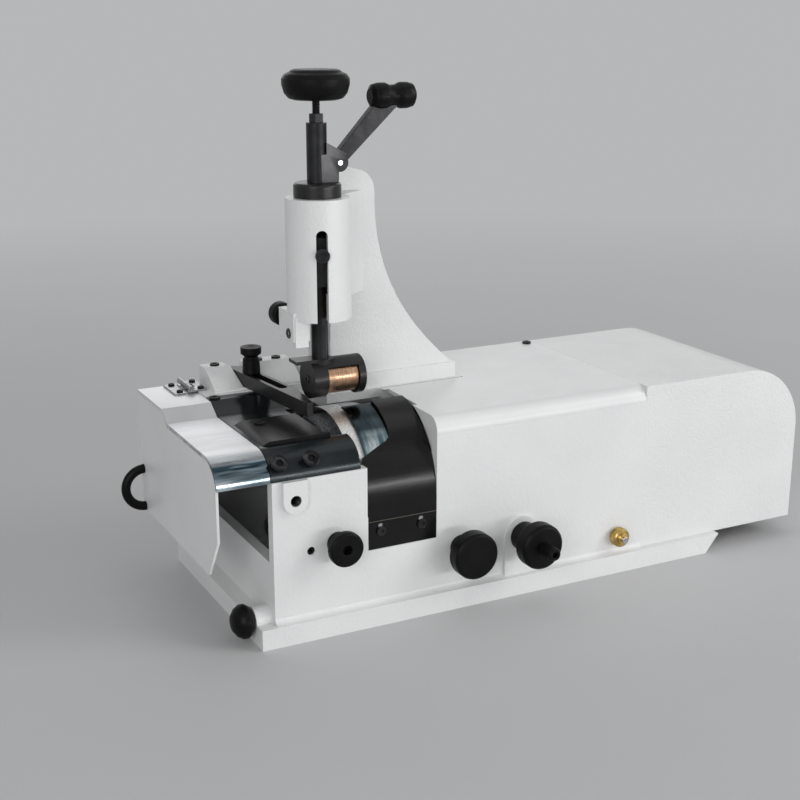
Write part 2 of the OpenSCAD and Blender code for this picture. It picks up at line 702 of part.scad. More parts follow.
function arm_bolt_xy() = [[arm_foot_x1 - 12, arm_y1 + 14], [arm_foot_x0 + 14, arm_y1 + 14]];
module arm_bolts() {
  color(dark) place() for (p = arm_bolt_xy())
    translate([p[0], p[1], cover_z + 12]) cap_screw(4, 6.5, 7, 26);
}
module bar_bush() {
  color(bronze) place() difference() {
    rod_z(tube_z0, tube_z0 + bush_h, col_x, col_y, bush_r);
    rod_z(tube_z0 - over, tube_z0 + bush_h + over, col_x, col_y, bar_r + run_gap);
    slot_side() block([-slot_hw, -tube_r, tube_z0 - over], [slot_hw, 0, tube_z0 + bush_h + over]);
  }
}
module column_cap() {
  color(black) place() difference() {
    union() {
      translate([col_x, col_y, tube_z1]) rotate_extrude() polygon([[0, 0], [cap_r, 0], [cap_r, cap_h - 1.5],
        [cap_r - 1.5, cap_h], [0, cap_h]]);
      rod_z(tube_z1 - 6, tube_z1 + over, col_x, col_y, bore_r - seat_gap);
    }
    rod_z(tube_z1 - 7, cap_z1 + over, col_x, col_y, screw_r + run_gap);
  }
}
module lever_bracket() {
  color(dark) place() difference() {
    union() {
      rod_z(cap_z1, bracket_z1, col_x, col_y, sleeve_or);
      block([col_x, col_y - ear_y, cap_z1], [pivot_x - 1, col_y + ear_y, pivot_z + 6]);
      rod_y(col_y - ear_y, col_y + ear_y, pivot_x, pivot_z, 6.2);
      along_y(col_y - ear_y, col_y + ear_y) polygon([[col_x + 4, pivot_z], [col_x + 4, pivot_z + 14],
        [pivot_x + 5.2, pivot_z + 6], [pivot_x + 5.2, pivot_z]]);
    }
    rod_z(cap_z1 - over, bracket_z1 + over, col_x, col_y, screw_r + run_gap);
    block([col_x + sleeve_or + 0.5, col_y - lever_t / 2 - move_gap, pivot_z - 7],
      [pivot_x + 20, col_y + lever_t / 2 + move_gap, pivot_z + 30]);
    rod_y(col_y - 20, col_y + 20, pivot_x, pivot_z, pivot_r + run_gap);
  }
}
module lever_pin() {
  color(steel) place() rod_y(col_y - ear_y - 0.6, col_y + ear_y + 0.6, pivot_x, pivot_z, pivot_r);
}
module lift_lever() {
  color(dark) place() translate([pivot_x, 0, pivot_z]) rotate([0, -lever_tilt, 0]) difference() {
    along_y(col_y - lever_t / 2, col_y + lever_t / 2) {
      circle(5);
      polygon([[0, -4.4], [lever_l, -7], [lever_l, 7], [0, 4.4]]);
    }
    rod_y(col_y - lever_t, col_y + lever_t, 0, 0, pivot_r + run_gap);
  }
}
// Spool-shaped grip across the end of the lever
module lever_grip() {
  color(black) place() translate([pivot_x, col_y, pivot_z]) rotate([0, -lever_tilt, 0])
    translate([lever_l - 1, 0, 0]) rotate([0, lever_tilt, 0]) difference() {
      turned_x(-17, 0, 0) polygon([[0, 0], [5, 0], [8, 2], [9, 6], [9, 11], [7.4, 15], [7.4, 19], [9, 23],
        [9, 28], [8, 32], [5, 34], [0, 34]]);
      rotate([0, -lever_tilt, 0]) block([-lever_l, -lever_t / 2, -7.2], [1, lever_t / 2, 7.2]);
    }
}
module lock_nut() {
  color(dark) place() difference() {
    rod_z(bracket_z1, bracket_z1 + nut_h, col_x, col_y, 5.2, $fn = 6);
    rod_z(bracket_z1 - over, bracket_z1 + nut_h + over, col_x, col_y, screw_r + run_gap);
  }
}
module regulator_screw() {
  color(dark) place() {
    rod_z(tube_z1 - 10, stem_z1 + 4, col_x, col_y, screw_r);
    rod_z(tube_z1 - 10, tube_z1 - 6 - move_gap, col_x, col_y, bore_r - 2);
  }
}
module regulator_knob() {
  color(black) place() translate([col_x, col_y, stem_z1]) rotate_extrude() difference() {
    polygon([[0, 0], [knob_r - 8, 0], [knob_r - 4.5, 1], [knob_r - 1.6, 4.5], [knob_r, 10], [knob_r, 14],
      [knob_r - 2, 17], [knob_r - 5, 18.2], [knob_r - 6, knob_h - 0.8], [knob_r - 8, knob_h], [0, knob_h]]);
    square([screw_r + run_gap, 4]);
  }
}
module presser_bar() {
  color(dark) place() difference() {
    union() {
      rod_z(bar_z0, pocket_z - over, col_x, col_y, bar_r);
      rod_z(cup_z0, cup_z1, col_x, col_y, bore_r - move_gap);
    }
    rod_z(pocket_z, cup_z1 + over, col_x, col_y, pocket_r);
    slot_side() rod_y(-tube_r, 0, 0, guide_screw_z, 2 + seat_gap);
  }
}
module guide_screw() {
  color(dark) place() slot_side() translate([0, -tube_r - 0.4, guide_screw_z]) rotate([90, 0, 0])
    union() {
      cap_screw(slot_hw - move_gap, 5, 2, 5);
      translate([0, 0, pocket_r - tube_r + move_gap]) cylinder(r = 2, h = tube_r - pocket_r - 4);
    }
}
module foot_holder() {
  color(black) place() difference() {
    union() {
      rod_x(foot_x0, foot_x1, col_y, foot_z, foot_r + 2);
      rod_z(foot_z + foot_r - 2, collar_z, col_x, col_y, bar_r + 3);
      block([col_x - 21, col_y - 7, collar_z - 2], [col_x, col_y + 7, collar_z + 0.5]);
    }
    rod_x(foot_x0 + left_cheek_t, foot_x1 - cheek_t, col_y, foot_z, foot_r + move_gap);
    block([foot_x0 + left_cheek_t, col_y - 20, foot_z - 20], [foot_x1 - cheek_t, col_y + 20, foot_z - 3]);
    block([foot_x0 + left_cheek_t, col_y - 20, foot_z - 20], [foot_x1 - cheek_t, col_y - 4, foot_z + 9]);
    rod_x(foot_x0 - over, foot_x1 + over, col_y, foot_z, 3 + seat_gap);
    rod_z(bar_z0 - seat_gap, tube_z0, col_x, col_y, bar_r + seat_gap);
  }
}
module roller_axle() {
  color(dark) place() difference() {
    rod_x(foot_x0 - 0.6, foot_x1 + 0.6, col_y, foot_z, 3);
    translate([foot_x0 - over, col_y, foot_z]) rotate([0, 90, 0]) cylinder(r = 1.5, h = 3, $fn = 6);
  }
}
module presser_roller() {
  color(bronze) place() difference() {
    rod_x(foot_x0 + left_cheek_t + move_gap, foot_x1 - cheek_t - move_gap, col_y, foot_z, foot_r);
    rod_x(foot_x0, foot_x1, col_y, foot_z, 3 + run_gap);
  }
}
module clamp_knob() {
  color(black) place() {
    rod_y(lug_y0 + 8, clamp_y + 6, clamp_x, clamp_z, clamp_r);
    turned_y(clamp_x, clamp_y + 14.4, clamp_z)
      polygon([[0, 0], [6, 0], [8.3, 2], [8.3, 9], [7, 11.6], [0, 11.6]]);
  }
}

// Presser spring: one tube swept along a helix
spring_r = 9.5;
wire_r = 1;
spring_turns = 8;
spring_z0 = pocket_z + wire_r + seat_gap;
spring_z1 = tube_z1 - 10 - wire_r - seat_gap;
spring_rings = 12 * spring_turns;
wire_sides = 6;
function helix(i) = let (a = 360 * spring_turns * i / spring_rings)
  [spring_r * cos(a), spring_r * sin(a), spring_z0 + (spring_z1 - spring_z0) * i / spring_rings];
function wire_ring(i) = let (a = 360 * spring_turns * i / spring_rings)
  [for (j = [0:wire_sides - 1]) let (b = 360 * j / wire_sides)
    helix(i) + wire_r * [cos(a) * cos(b), sin(a) * cos(b), sin(b)]];
wire_points = [for (i = [0:spring_rings]) each wire_ring(i)];
wire_faces = concat(
  [[for (j = [0:wire_sides - 1]) j]],
  [for (i = [0:spring_rings - 1], j = [0:wire_sides - 1]) let (a = i * wire_sides, k = (j + 1) % wire_sides)
    each [[a + j, a + wire_sides + j, a + wire_sides + k], [a + j, a + wire_sides + k, a + k]]],
  [[for (j = [wire_sides - 1:-1:0]) spring_rings * wire_sides + j]]);
spring_gap = min([for (i = [0:spring_rings - 12]) norm(helix(i + 12) - helix(i))]) - 2 * wire_r;
echo(least_spring_gap = spring_gap);
module presser_spring() {
  color(steel) place() translate([col_x, col_y, 0]) polyhedron(wire_points, wire_faces);
}

// Knife: bell, shaft, pulley, quill and bearings
function bell_arc(r, w, back) = [for (i = [0:8]) let (a = 90 * i / 8)
  [r - w + w * cos(a), back - w + w * sin(a)]];
module bell_2d() {
  polygon(concat([[knife_r, 0]], bell_arc(knife_r, 18, knife_l - 10), [[hub_r, knife_l - 10],
    [hub_r, knife_l], [0, knife_l], [0, knife_l - 20], [hub_r, knife_l - 20], [hub_r + 1, knife_l - 14]],
    back_to_front(bell_arc(knife_r - knife_wall, 15, knife_l - 10 - knife_wall)),
    [[knife_r - knife_wall, 6]]));
}
module bell_knife() {
  color(steel) place() difference() {
    turned_x(knife_x, knife_y, knife_z) bell_2d();
    rod_x(knife_x, knife_x + knife_l + over, knife_y, knife_z, shaft_r + seat_gap);
  }
}
module knife_shaft() {
  color(steel) place() {
    rod_x(knife_x + knife_l - 24, pulley_x + 36, knife_y, knife_z, shaft_r);
    rod_x(knife_x + knife_l - 28, knife_x + knife_l - 20 - seat_gap, knife_y, knife_z, 13, $fn = 6);
    rod_x(drum_x0, drum_x1, knife_y, knife_z, knife_drum_r);
  }
}
module v_pulley(x, w, y, z, r, bore) {
  difference() {
    turned_x(x, y, z) polygon([[bore, 0], [r, 0], [r, 3], [r - 8, w / 2 - 2], [r - 8, w / 2 + 2],
      [r, w - 3], [r, w], [bore, w]]);
    rod_x(x - over, x + w + over, y, z, bore + seat_gap);
  }
}
module knife_pulley() { color(dark) place() v_pulley(pulley_x, 22, knife_y, knife_z, 34, shaft_r); }
module knife_quill() {
  color(steel) place() difference() {
    union() {
      rod_x(quill_x0, quill_x1, knife_y, knife_z, quill_r);
      block([knob2_x - lug_w, knife_y - 8, knob_z - 12],
        [knob2_x + lug_w, knife_y + 8, knife_z - quill_r + 4]);
    }
    rod_x(quill_x0 - over, quill_x1 + over, knife_y, knife_z, bearing_r - 4);
    rod_x(quill_x0 - over, quill_x0 + bearing_w, knife_y, knife_z, bearing_r + seat_gap);
    rod_x(quill_x1 - bearing_w, quill_x1 + over, knife_y, knife_z, bearing_r + seat_gap);
    along_y(knife_y - 9, knife_y + 9) translate([knob2_x, knob_z + 4]) rotate([0, 0, 90])
      slot_2d(10, pin_r + move_gap);
  }
}
module knife_bearings() {
  color(steel) place() for (x = [quill_x0, quill_x1 - bearing_w]) difference() {
    rod_x(x, x + bearing_w, knife_y, knife_z, bearing_r);
    rod_x(x - over, x + bearing_w + over, knife_y, knife_z, shaft_r + run_gap);
    for (f = [x - over, x + bearing_w - 1]) rod_x(f, f + 2, knife_y, knife_z, bearing_r - 2.5);
  }
}

// Feed: closed gear case, roll, drive shaft and pulley
module feed_gear_case() {
  color(dark) place() difference() {
    union() {
      hull() {
        rod_x(case_x0, case_x1, knife_y, roll_z, 15);
        rod_x(case_x0, case_x1, feed_y, feed_z, 15);
      }
      block([case_x0 + 4, feed_y, feed_z - 12], [case_x1 - 4, back_y0, feed_z + 8]);
    }
    rod_x(case_x1 - 14, case_x1 + over, knife_y, roll_z, roll_shaft_r + run_gap);
    rod_x(case_x1 - 14, case_x1 + over, feed_y, feed_z, feed_shaft_r + run_gap);
  }
}
module feed_roll() {
  color(stone) place() {
    rod_x(case_x1 - 12, roll_x0 + over, knife_y, roll_z, roll_shaft_r);
    turned_x(roll_x0, knife_y, roll_z) polygon([[0, 0], [roll_r - 1.5, 0], [roll_r, 1.5],
      [roll_r, roll_x1 - roll_x0 - 1.5], [roll_r - 1.5, roll_x1 - roll_x0], [0, roll_x1 - roll_x0]]);
  }
}
module feed_shaft() {
  color(steel) place() rod_x(case_x1 - 12, pulley_x + 62, feed_y, feed_z, feed_shaft_r);
}
module feed_pulley() { color(dark) place() v_pulley(pulley_x + 38, 20, feed_y, feed_z, 25, feed_shaft_r); }

// Grindstone: stone, spindle with its drum, sliding sleeve, and the belt
module grindstone() {
  color(stone) place() difference() {
    turned_x(stone_x1 - stone_t, stone_y, stone_z) polygon([[0, 0], [stone_r - 2, 0], [stone_r, 2],
      [stone_r, stone_t], [stone_r - 9, stone_t], [stone_r - 9, stone_t - 4], [0, stone_t - 4]]);
    rod_x(stone_x1 - stone_t - over, stone_x1 + over, stone_y, stone_z, stone_shaft_r + seat_gap);
  }
}
module stone_spindle() {
  color(steel) place() {
    rod_x(stone_x1 - stone_t - 5, drum_x1 + 2, stone_y, stone_z, stone_shaft_r);
    rod_x(stone_x1 - stone_t - 5, stone_x1 - stone_t - seat_gap, stone_y, stone_z, 8, $fn = 6);
    rod_x(drum_x0, drum_x1, stone_y, stone_z, stone_drum_r);
  }
}
module stone_sleeve() {
  color(steel) place() difference() {
    union() {
      rod_x(quill_x0, quill_x1, stone_y, stone_z, sleeve_r);
      block([knob3_x - lug_w, stone_y - sleeve_r - 7, stone_z - 4],
        [knob3_x + lug_w, stone_y, knob_z + throw + 9]);
    }
    rod_x(quill_x0 - over, quill_x1 + over, stone_y, stone_z, stone_shaft_r + run_gap);
    along_y(stone_y - sleeve_r - 8, stone_y - stone_shaft_r) translate([knob3_x, knob_z + throw])
      rotate([0, 0, 90]) slot_2d(4, pin_r + move_gap);
  }
}
// Outline of a belt drawn tight round the two drums
module belt_2d(grow) {
  hull() {
    translate([knife_y, knife_z]) circle(knife_drum_r + grow, $fn = 48);
    translate([stone_y, stone_z]) circle(stone_drum_r + grow, $fn = 48);
  }
}
module stone_belt() {
  mid = (drum_x0 + drum_x1) / 2;
  color(black) place() along_x(mid - belt_d / 2, mid + belt_d / 2) difference() {
    belt_2d(0.3 + belt_d);
    belt_2d(0.3);
  }
}

// Front knobs: turned about the y axis, face towards the front
module feed_lift_knob() {
  color(black) place() difference() {
    union() {
      turned_y(knob1_x, wall_y0 - move_gap, knob1_z) polygon([[0, 0], [8, 0], [8, 10.5], [knob1_r - 1, 10.5],
        [knob1_r, 11.5], [knob1_r, 16], [knob1_r - 1, 17.2], [0, 17.2]]);
      rod_y(wall_y0 - over, wall_y1 + 26, knob1_x, knob1_z, spindle_r);
    }
    rod_y(wall_y0 - 18.5, wall_y0 - 11, knob1_x, knob1_z, 3.7, $fn = 6);
  }
}
module eccentric(x, y1) {
  rod_y(wall_y0 - 4, y1, x, knob_z, spindle_r);
  rod_y(y1 - 4, y1, x, knob_z, throw + pin_r + 0.5);
  rod_y(y1 - over, y1 + 12, x, knob_z + throw, pin_r);
}
module knife_advance_knob() {
  color(black) place() {
    turned_y(knob2_x, wall_y0 - move_gap, knob_z) polygon([[0, 0], [9, 0], [9, 13], [knob2_r - 1, 13],
      [knob2_r, 14], [knob2_r, 23], [knob2_r - 1.5, 24.7], [0, 25]]);
    eccentric(knob2_x, knife_y - 8 - lug_gap);
  }
}
module stone_feed_knob() {
  color(black) place() difference() {
    union() {
      turned_y(knob3_x, wall_y0 - pad_h - move_gap, knob_z) polygon([[0, 0], [10, 0], [11, 1], [11, 17],
        [knob3_r - 1, 17], [knob3_r, 18], [knob3_r, 27], [knob3_r - 2, 29.5], [0, 29.5]]);
      eccentric(knob3_x, stone_y - sleeve_r - 7 - lug_gap);
    }
    rod_y(wall_y0 - 46, wall_y0 - 18, knob3_x, knob_z, 3 + seat_gap);
  }
}
module stone_lock_screw() {
  color(dark) place() difference() {
    union() {
      rod_y(wall_y0 - 34, wall_y0 - 19, knob3_x, knob_z, 3);
      turned_y(knob3_x, wall_y0 - 32.5, knob_z) polygon([[0, 0], [5, 0], [5, 13], [4, 14.5], [0, 14.5]]);
    }
    rod_y(wall_y0 - 48, wall_y0 - 42, knob3_x, knob_z, 2.4, $fn = 6);
  }
}
module nut_stud() {
  color(steel) place() rod_y(wall_y0 - 13, wall_y1, nut_x, nut_z, 2.5);
}
module brass_nut() {
  color(brass) place() difference() {
    turned_y(nut_x, wall_y0 - move_gap, nut_z) polygon([[0, 0], [6, 0], [7.4, 1.4], [7.4, 7], [6, 8.4],
      [4.4, 8.4], [4.4, 10], [0, 10]]);
    rod_y(wall_y0 - 14, wall_y0 + over, nut_x, nut_z, 2.5 + run_gap);
  }
}
module chute_knob() {
  color(black) place() {
    rod_x(-8, body_x0 + 8, chute_y, chute_z, 3);
    turned_x(-13, chute_y, chute_z) polygon([[0, -2], [6, -1.4], [10, 1.6], [12, 5], [12, 8], [10, 11],
      [7, 12.4], [0, 12.4]]);
  }
}

base_flange();
front_wall();
body_frame();
table_plate();
table_screws();
throat_plate();
rear_deck();
hinge_leaf_fixed();
hinge_pin();
side_sheet();
side_wall();
bow_handle();
hinge_leaf_moving();
hinge_screws_moving();
knife_guard();
guard_screws();
chip_deflector();
main_cover();
rear_cover();
cover_screws();
presser_arm();
arm_bolts();
bar_bush();
column_cap();
lever_bracket();
lever_pin();
lock_nut();
regulator_screw();
regulator_knob();
lift_lever();
lever_grip();
presser_bar();
guide_screw();
foot_holder();
roller_axle();
presser_roller();
presser_spring();
clamp_knob();
edge_guide();
guide_thumb_screw();
bell_knife();
knife_shaft();
knife_pulley();
knife_quill();
knife_bearings();
feed_gear_case();
feed_roll();
feed_shaft();
feed_pulley();
stone_sleeve();
grindstone();
stone_spindle();
stone_belt();
feed_lift_knob();
knife_advance_knob();
stone_feed_knob();
stone_lock_screw();
brass_nut();
nut_stud();
chute_knob();
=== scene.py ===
"""Looks of a bench machine that skives leather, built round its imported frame."""

import math

import bmesh
import bpy
from mathutils import Matrix, Vector


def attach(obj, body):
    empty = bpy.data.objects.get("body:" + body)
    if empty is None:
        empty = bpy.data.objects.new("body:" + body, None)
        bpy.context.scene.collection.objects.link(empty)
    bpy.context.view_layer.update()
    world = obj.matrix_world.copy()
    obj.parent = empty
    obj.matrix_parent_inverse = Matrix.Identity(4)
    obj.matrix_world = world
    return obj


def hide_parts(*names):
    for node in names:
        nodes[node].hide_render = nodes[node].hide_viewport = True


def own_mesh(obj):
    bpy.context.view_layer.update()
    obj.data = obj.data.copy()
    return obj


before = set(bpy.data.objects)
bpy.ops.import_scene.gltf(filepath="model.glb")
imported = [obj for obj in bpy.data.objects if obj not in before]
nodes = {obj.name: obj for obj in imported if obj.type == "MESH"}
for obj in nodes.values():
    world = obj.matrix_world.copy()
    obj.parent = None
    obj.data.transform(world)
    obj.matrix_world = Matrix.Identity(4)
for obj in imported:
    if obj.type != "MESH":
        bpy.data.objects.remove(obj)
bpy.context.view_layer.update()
scene = bpy.context.scene
MM = 0.001
# Height of the bend line in the knife guard, where a thin highlight is painted into its colour
CREASE = 0.0765
# The CAD is drawn from a corner of the base; the frame starts at the base's centre
BENCH = Vector((-190, -90, 0))


def at(x, y, z):
    """A point of the CAD drawing, in millimetres, in the row frame."""
    return (Vector((x, y, z)) + BENCH) * MM


# Camera, fitted to the photograph's vanishing points
YAW = math.radians(27.2)
PITCH = math.radians(16.2)
EYE = Vector((-0.4929, -0.8829, 0.4233))
right = Vector((math.cos(YAW), -math.sin(YAW), 0))
ahead = Vector((math.sin(YAW) * math.cos(PITCH), math.cos(YAW) * math.cos(PITCH), -math.sin(PITCH)))
up = right.cross(ahead)
lens = bpy.data.cameras.new("camera")
lens.sensor_width = 36
lens.lens = 61.5
lens.clip_start = 0.02
camera = bpy.data.objects.new("camera", lens)
camera.matrix_world = Matrix.Translation(EYE) @ Matrix((right, up, -ahead)).transposed().to_4x4()
scene.collection.objects.link(camera)
scene.camera = camera
scene.view_settings.view_transform = "Standard"


# Node building
class Shader:
    """A material with its Principled shader and short ways to add nodes."""

    def __init__(self, name, base, rough, metal=0.0, **sockets):
        self.mat = bpy.data.materials.new(name)
        self.mat.use_nodes = True
        self.tree = self.mat.node_tree
        self.bsdf = self.tree.nodes["Principled BSDF"]
        self.put("Base Color", base)
        self.put("Roughness", rough)
        self.put("Metallic", metal)
        for key, value in sockets.items():
            self.put(key.replace("_", " "), value)
        self.coords = self.tree.nodes.new("ShaderNodeTexCoord").outputs["Object"]

    def put(self, socket, value):
        if isinstance(value, tuple):
            value = (*value, 1.0)
        self.bsdf.inputs[socket].default_value = value

    def link(self, a, b):
        self.tree.links.new(a, b)

    def mapped(self, stretch):
        node = self.tree.nodes.new("ShaderNodeMapping")
        node.inputs["Scale"].default_value = stretch
        self.link(self.coords, node.inputs["Vector"])
        return node.outputs["Vector"]

    def noise(self, scale, detail=3.0, rough=0.55, stretch=None):
        node = self.tree.nodes.new("ShaderNodeTexNoise")
        node.inputs["Scale"].default_value = scale
        node.inputs["Detail"].default_value = detail
        node.inputs["Roughness"].default_value = rough
        self.link(self.mapped(stretch) if stretch else self.coords, node.inputs["Vector"])
        return node.outputs["Fac"]

    def cells(self, scale):
        node = self.tree.nodes.new("ShaderNodeTexVoronoi")
        node.inputs["Scale"].default_value = scale
        self.link(self.coords, node.inputs["Vector"])
        return node.outputs["Color"], node.outputs["Distance"]

    def ramp(self, factor, *stops):
        node = self.tree.nodes.new("ShaderNodeValToRGB")
        ramp = node.color_ramp
        while len(ramp.elements) < len(stops):
            ramp.elements.new(0.5)
        for element, (place, colour) in zip(ramp.elements, stops):
            if not isinstance(colour, tuple):
                colour = (colour, colour, colour)
            element.position = place
            element.color = (*colour, 1.0)
        self.link(factor, node.inputs["Fac"])
        return node.outputs["Color"]

    def mix(self, factor, a, b, kind="MIX"):
        node = self.tree.nodes.new("ShaderNodeMix")
        node.data_type = "RGBA"
        node.blend_type = kind
        for socket, value in ((0, factor), (6, a), (7, b)):
            if isinstance(value, (int, float)):
                node.inputs[socket].default_value = value
            elif isinstance(value, tuple):
                node.inputs[socket].default_value = (*value, 1.0)
            else:
                self.link(value, node.inputs[socket])
        return node.outputs[2]

    def position(self, axis):
        node = self.tree.nodes.new("ShaderNodeSeparateXYZ")
        self.link(self.coords, node.inputs["Vector"])
        return node.outputs[axis]

    def span(self, value, low, high):
        node = self.tree.nodes.new("ShaderNodeMapRange")
        node.inputs["From Min"].default_value = low
        node.inputs["From Max"].default_value = high
        self.link(value, node.inputs["Value"])
        return node.outputs["Result"]

    def edges(self, low=0.52, high=0.6):
        """Wear factor: one on convex edges, nought on the flats."""
        node = self.tree.nodes.new("ShaderNodeNewGeometry")
        return self.span(node.outputs["Pointiness"], low, high)

    def colour(self, socket):
        self.link(socket, self.bsdf.inputs["Base Color"])

    def gloss(self, socket):
        self.link(socket, self.bsdf.inputs["Roughness"])

    def bumps(self, *layers):
        """Height layers as (socket, strength, depth in metres), chained one on the other."""
        normal = None
        for height, strength, depth in layers:
            node = self.tree.nodes.new("ShaderNodeBump")
            node.inputs["Strength"].default_value = strength
            node.inputs["Distance"].default_value = depth
            self.link(height, node.inputs["Height"])
            if normal:
                self.link(normal, node.inputs["Normal"])
            normal = node.outputs["Normal"]
        self.link(normal, self.bsdf.inputs["Normal"])


def white_paint(name, peel_scale, peel, speck):
    s = Shader(name, (0.76, 0.765, 0.765), 0.36, Coat_Weight=0.15, Coat_Roughness=0.2)
    cloud = s.noise(14, 5)
    s.colour(s.ramp(cloud, (0.3, (0.735, 0.742, 0.742)), (0.7, (0.785, 0.79, 0.788))))
    s.gloss(s.ramp(s.noise(60, 4), (0.3, 0.3), (0.75, 0.44)))
    s.bumps((s.noise(peel_scale, 2, 0.5), peel, 0.0006), (s.noise(peel_scale * 4, 2, 0.6), speck, 0.0002))
    return s.mat


def black_gloss():
    s = Shader("black_gloss", (0.012, 0.013, 0.014), 0.2, Specular_IOR_Level=0.32, Coat_Weight=0.06,
               Coat_Roughness=0.1, Specular_Tint=(0.86, 0.97, 1.0))
    smear = s.noise(30, 5, 0.6, (1, 0.35, 1))
    s.colour(s.ramp(smear, (0.3, (0.005, 0.0062, 0.007)), (0.75, (0.013, 0.017, 0.019))))
    s.gloss(s.ramp(s.noise(55, 6, 0.65), (0.3, 0.14), (0.7, 0.3)))
    s.bumps((s.noise(26, 2), 0.04, 0.002), (s.noise(1800, 2), 0.04, 0.0001))
    return s.mat


def black_satin():
    s = Shader("black_satin", (0.007, 0.0068, 0.0068), 0.3, Specular_IOR_Level=0.4)
    drawn = s.noise(700, 3, 0.6, (0.03, 1, 1))
    s.colour(s.ramp(s.noise(45, 4), (0.3, (0.0055, 0.0053, 0.0053)), (0.75, (0.011, 0.0105, 0.0102))))
    s.gloss(s.ramp(drawn, (0.3, 0.27), (0.7, 0.4)))
    s.bumps((drawn, 0.06, 0.0001))
    return s.mat


def black_plate():
    """Flat blackened plate, rubbed by the leather that slides over it."""
    s = Shader("black_plate", (0.008, 0.0078, 0.0078), 0.34, Specular_IOR_Level=0.1)
    rubbed = s.noise(60, 5, 0.6, (1, 0.2, 1))
    s.colour(s.ramp(rubbed, (0.3, (0.0055, 0.0055, 0.0056)), (0.75, (0.014, 0.0135, 0.013))))
    s.gloss(s.ramp(rubbed, (0.3, 0.4), (0.75, 0.26)))
    s.bumps((s.noise(900, 3, 0.6, (1, 0.04, 1)), 0.05, 0.0001))
    return s.mat


def guard_black():
    """Black sheet with a painted highlight along the crease where it is bent, above its screws."""
    s = Shader("guard_black", (0.006, 0.0058, 0.0058), 0.22, Specular_IOR_Level=0.28)
    drawn = s.noise(700, 3, 0.6, (0.03, 1, 1))
    sheet = s.ramp(s.noise(45, 4), (0.3, (0.0035, 0.0034, 0.0034)), (0.75, (0.007, 0.0067, 0.0066)))
    height = s.span(s.position("Z"), CREASE - 0.002, CREASE + 0.002)
    # Painted highlight: a thin pale line at the bend height, standing in for light caught by the crease
    painted_crease_highlight = s.ramp(height, (0.4, 0.0), (0.5, 0.8), (0.6, 0.0))
    s.colour(s.mix(painted_crease_highlight, sheet, (0.16, 0.15, 0.13)))
    s.gloss(s.ramp(drawn, (0.3, 0.17), (0.7, 0.27)))
    s.bumps((drawn, 0.06, 0.0001))
    return s.mat


def black_moulded(name="black_moulded", base=0.0035):
    s = Shader(name, (base, base, base), 0.42, Specular_IOR_Level=0.13)
    grain = s.noise(1500, 3, 0.6)
    worn = s.edges(0.53, 0.66)
    dark = s.ramp(s.noise(70, 4), (0.3, base * 0.75), (0.75, base * 1.3))
    patchy = s.ramp(s.noise(240, 4), (0.4, 0.0), (0.62, 0.5))
    s.colour(s.mix(s.mix(1.0, worn, patchy, "MULTIPLY"), dark, (0.075, 0.073, 0.07)))
    s.gloss(s.ramp(s.noise(90, 4), (0.3, 0.34), (0.7, 0.5)))
    s.bumps((grain, 0.1, 0.0002))
    return s.mat


def black_oxide():
    s = Shader("black_oxide", (0.018, 0.018, 0.0195), 0.4, 0.5, Specular_IOR_Level=0.35)
    worn = s.edges(0.54, 0.68)
    dark = s.ramp(s.noise(120, 4), (0.3, (0.012, 0.012, 0.0132)), (0.75, (0.026, 0.026, 0.0285)))
    s.colour(s.mix(worn, dark, (0.14, 0.14, 0.145)))
    s.gloss(s.ramp(s.noise(160, 3), (0.3, 0.34), (0.72, 0.46)))
    s.bumps((s.noise(1600, 2), 0.07, 0.0001))
    return s.mat


def black_screw():
    s = Shader("black_screw", (0.004, 0.004, 0.005), 0.42, Specular_IOR_Level=0.12)
    worn = s.edges(0.54, 0.7)
    dark = s.ramp(s.noise(300, 4), (0.3, (0.003, 0.003, 0.0035)), (0.75, (0.008, 0.008, 0.009)))
    s.colour(s.mix(worn, dark, (0.045, 0.045, 0.047)))
    s.gloss(s.ramp(s.noise(500, 3), (0.3, 0.36), (0.7, 0.5)))
    s.bumps((s.noise(1600, 2), 0.06, 0.0001))
    return s.mat


def blued_sheet():
    """Bright sheet in the guard's corner, with teal and pale streaks of painted reflection, darker towards
    the knife's top.
    """
    s = Shader("blued_sheet", (0.4, 0.52, 0.56), 0.16, 1.0)
    # Streaks of painted reflection, teal to near white, with a darker set of the same streaks
    reflection_streak = s.noise(110, 3, 0.6, (1, 0.15, 0.3))
    teal_reflection = s.ramp(reflection_streak, (0.38, (0.09, 0.16, 0.19)), (0.5, (0.34, 0.46, 0.5)), (0.62, (0.78, 0.83, 0.85)))
    dark = s.ramp(reflection_streak, (0.35, (0.012, 0.016, 0.02)), (0.65, (0.05, 0.07, 0.08)))
    # Darker towards the knife's top
    s.colour(s.mix(s.ramp(s.span(s.position("Z"), 0.126, 0.14), (0.2, 0.0), (0.7, 1.0)), teal_reflection, dark))
    s.gloss(s.ramp(s.noise(70, 4), (0.3, 0.1), (0.7, 0.24)))
    s.bumps((s.noise(40, 2), 0.1, 0.001))
    return s.mat


def ground_steel(name, stretch, base=0.56):
    s = Shader(name, (base, base, base * 1.02), 0.28, 1.0)
    lines = s.noise(900, 3, 0.6, stretch)
    dull, bright = (base * 0.8, base * 0.81, base * 0.83), (base * 1.15, base * 1.16, base * 1.17)
    s.colour(s.ramp(lines, (0.3, dull), (0.7, bright)))
    s.gloss(s.ramp(s.noise(80, 5), (0.3, 0.2), (0.72, 0.36)))
    s.bumps((lines, 0.1, 0.0001))
    return s.mat


